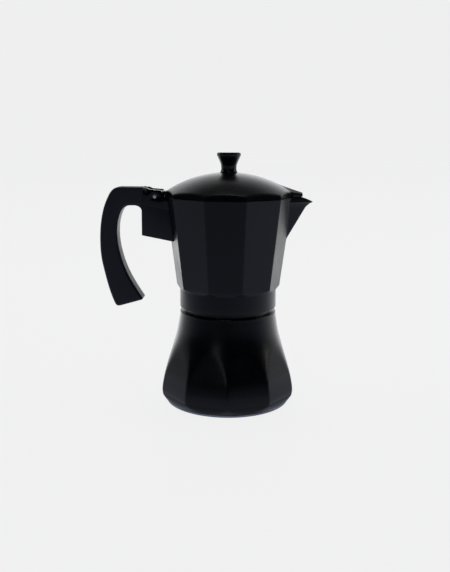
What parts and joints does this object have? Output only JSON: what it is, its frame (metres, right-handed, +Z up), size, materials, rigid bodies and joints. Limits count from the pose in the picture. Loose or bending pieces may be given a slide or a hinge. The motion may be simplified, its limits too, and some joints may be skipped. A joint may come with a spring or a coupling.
{
  "type": "moka pot",
  "caption": "Stove-top coffee maker with a flared faceted boiler, screwed-on faceted jug with spout and handle, and a hinged domed lid.",
  "frame": {"origin": "on the pot's vertical axis, in the plane the base plate stands on", "axes": "+Z up along the axis, +X towards the spout, -X towards the handle, +Y towards the safety valve's side"},
  "size_m": [0.168, 0.1092, 0.1984],
  "materials": {
    "body_paint": "smooth half-gloss black enamel on cast aluminium",
    "chamber_paint": "satin black enamel with a fine grain on cast aluminium",
    "bracket_paint": "deep gloss black",
    "handle_plastic": "matte black heat-proof plastic",
    "knob_plastic": "black heat-proof plastic, a little smoother than the handle",
    "base_steel": "brushed magnetic steel",
    "fastener_steel": "plain steel",
    "spring_steel": "bright spring wire",
    "valve_brass": "turned brass",
    "bare_aluminium": "bare spun and cast aluminium",
    "seal_silicone": "white silicone"
  },
  "bodies": {
    "boiler": {"boiler": "body_paint", "base_plate": "base_steel", "valve_washer": "seal_silicone", "valve_body": "valve_brass", "valve_retainer": "valve_brass", "valve_spring": "spring_steel", "funnel_basket": "bare_aluminium", "funnel_stem": "bare_aluminium", "funnel_sieve": "bare_aluminium"},
    "valve_piston": {"valve_piston": "valve_brass"},
    "seal": {"gasket": "seal_silicone", "filter_plate": "bare_aluminium"},
    "collector": {"upper_chamber": "chamber_paint", "riser_column": "bare_aluminium", "hinge_bracket": "bracket_paint", "bracket_screw": "fastener_steel", "hinge_pin": "fastener_steel", "handle": "handle_plastic", "handle_screw": "fastener_steel"},
    "lid": {"lid": "body_paint", "knob": "knob_plastic", "knob_insert": "valve_brass", "knob_screw": "fastener_steel", "knob_washer": "fastener_steel"}
  },
  "joints": [
    {"name": "thread_lift", "type": "slide", "parent": "boiler", "child": "seal", "axis": [0, 0, 1], "range_m": [0, 0.00675]},
    {"name": "thread_turn", "type": "hinge", "parent": "seal", "child": "collector", "pos_m": [0, 0, 0.08], "axis": [0, 0, 1], "range_deg": [0, 810]},
    {"name": "lid_hinge", "type": "hinge", "parent": "collector", "child": "lid", "pos_m": [-0.057, 0, 0.1644], "axis": [0, -1, 0], "range_deg": [0, 100]},
    {"name": "valve_slide", "type": "slide", "parent": "boiler", "child": "valve_piston", "axis": [0, 1, 0], "range_m": [0, 0.0012], "stiffness_N_per_m": 1000, "springref_m": -0.0021, "deforming": ["valve_spring"]}
  ],
  "couplings": [
    {"joint": "thread_lift", "follows": "thread_turn", "m_per_rad": 0.00047746}
  ]
}
